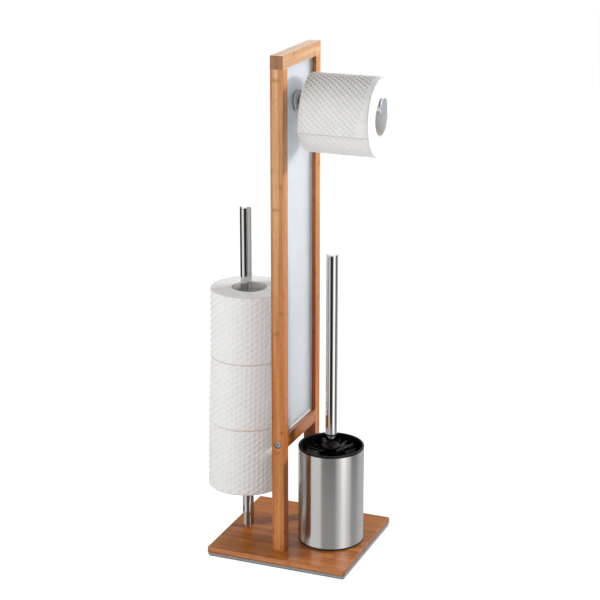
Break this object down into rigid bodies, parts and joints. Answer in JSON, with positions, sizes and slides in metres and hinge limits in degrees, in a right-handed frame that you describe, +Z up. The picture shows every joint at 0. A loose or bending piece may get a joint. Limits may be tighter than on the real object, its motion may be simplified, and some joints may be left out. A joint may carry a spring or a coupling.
{
  "type": "toilet roll and brush stand",
  "caption": "Free-standing bamboo and glass bathroom stand with a roll arm, a pole for spare rolls and a brush in a steel cup on a weighted board.",
  "frame": {"origin": "middle of the board's footprint, on the floor", "axes": "+X along the near edge of the board from the spare rolls towards the brush cup, the way the arm points; +Y across the board away from the viewer; +Z up"},
  "size_m": [0.2539, 0.188, 0.7],
  "materials": {
    "bamboo": "carbonised bamboo lamellae under clear satin lacquer",
    "beech": "plain turned beech",
    "coated_steel": "grey powder coat",
    "rubber_mat": "matt dark grey rubber",
    "zinc_steel": "zinc plated steel",
    "satin_glass": "satin etched toughened glass",
    "clear_vinyl": "soft pale blue vinyl",
    "clear_washer": "translucent grey plastic",
    "bushing_plastic": "soft grey plastic",
    "nickel": "polished nickel",
    "polished_steel": "mirror polished stainless steel",
    "brushed_steel": "stainless steel with a fine vertical brush finish",
    "black_plastic": "black moulded polypropylene",
    "bristle_nylon": "black nylon filament",
    "tissue_paper": "white embossed tissue",
    "grey_board": "brown spiral wound board"
  },
  "bodies": {
    "stand": {"base_board": "bamboo", "ballast_plate": "coated_steel", "anti_slip_mat": "rubber_mat", "post_screws": "zinc_steel", "front_post": "bamboo", "rear_post": "bamboo", "top_rail": "bamboo", "lower_rail": "bamboo", "rail_bolts": "zinc_steel", "barrel_nuts": "zinc_steel", "rail_dowels": "beech", "top_dowels": "beech", "glass_panel": "satin_glass", "glazing_strip": "clear_vinyl", "arm_rosette_front": "clear_washer", "arm_rosette_back": "clear_washer", "glass_bushing": "bushing_plastic", "arm_stud": "zinc_steel", "arm_root_plug": "nickel", "arm_tube": "polished_steel", "arm_end_stop": "polished_steel", "arm_cap_nut": "polished_steel", "spare_pole": "polished_steel", "pole_cap": "polished_steel", "pole_insert": "zinc_steel", "pole_screw": "zinc_steel", "roll_support": "polished_steel", "support_screw": "zinc_steel"},
    "brush_cup": {"holder_sleeve": "brushed_steel", "holder_foot": "black_plastic", "liner_cup": "black_plastic"},
    "brush": {"brush_handle": "polished_steel", "handle_cap": "polished_steel", "handle_ferrule": "polished_steel", "hub_stud": "zinc_steel", "brush_hub": "black_plastic", "brush_bristles": "bristle_nylon"},
    "hanging_roll": {"hanging_paper": "tissue_paper", "hanging_core": "grey_board", "loose_sheet": "tissue_paper"},
    "spare_roll_1": {"spare_paper_1": "tissue_paper", "spare_core_1": "grey_board"},
    "spare_roll_2": {"spare_paper_2": "tissue_paper", "spare_core_2": "grey_board"},
    "spare_roll_3": {"spare_paper_3": "tissue_paper", "spare_core_3": "grey_board"}
  },
  "joints": [
    {"name": "hanging_roll_spin", "type": "hinge", "parent": "stand", "child": "hanging_roll", "pos_m": [0.0644, 0, 0.61675], "axis": [1, 0, 0], "continuous": true},
    {"name": "spare_roll_1_lift", "type": "slide", "parent": "stand", "child": "spare_roll_1", "axis": [0, 0, 1], "range_m": [0, 0.404]},
    {"name": "spare_roll_2_lift", "type": "slide", "parent": "spare_roll_1", "child": "spare_roll_2", "axis": [0, 0, 1], "range_m": [0, 0.307]},
    {"name": "spare_roll_3_lift", "type": "slide", "parent": "spare_roll_2", "child": "spare_roll_3", "axis": [0, 0, 1], "range_m": [0, 0.21]},
    {"name": "cup_take_off", "type": "slide", "parent": "stand", "child": "brush_cup", "axis": [1, 0, 0], "range_m": [0, 0.15]},
    {"name": "brush_lift", "type": "slide", "parent": "brush_cup", "child": "brush", "axis": [0, 0, 1], "range_m": [0, 0.13]}
  ]
}
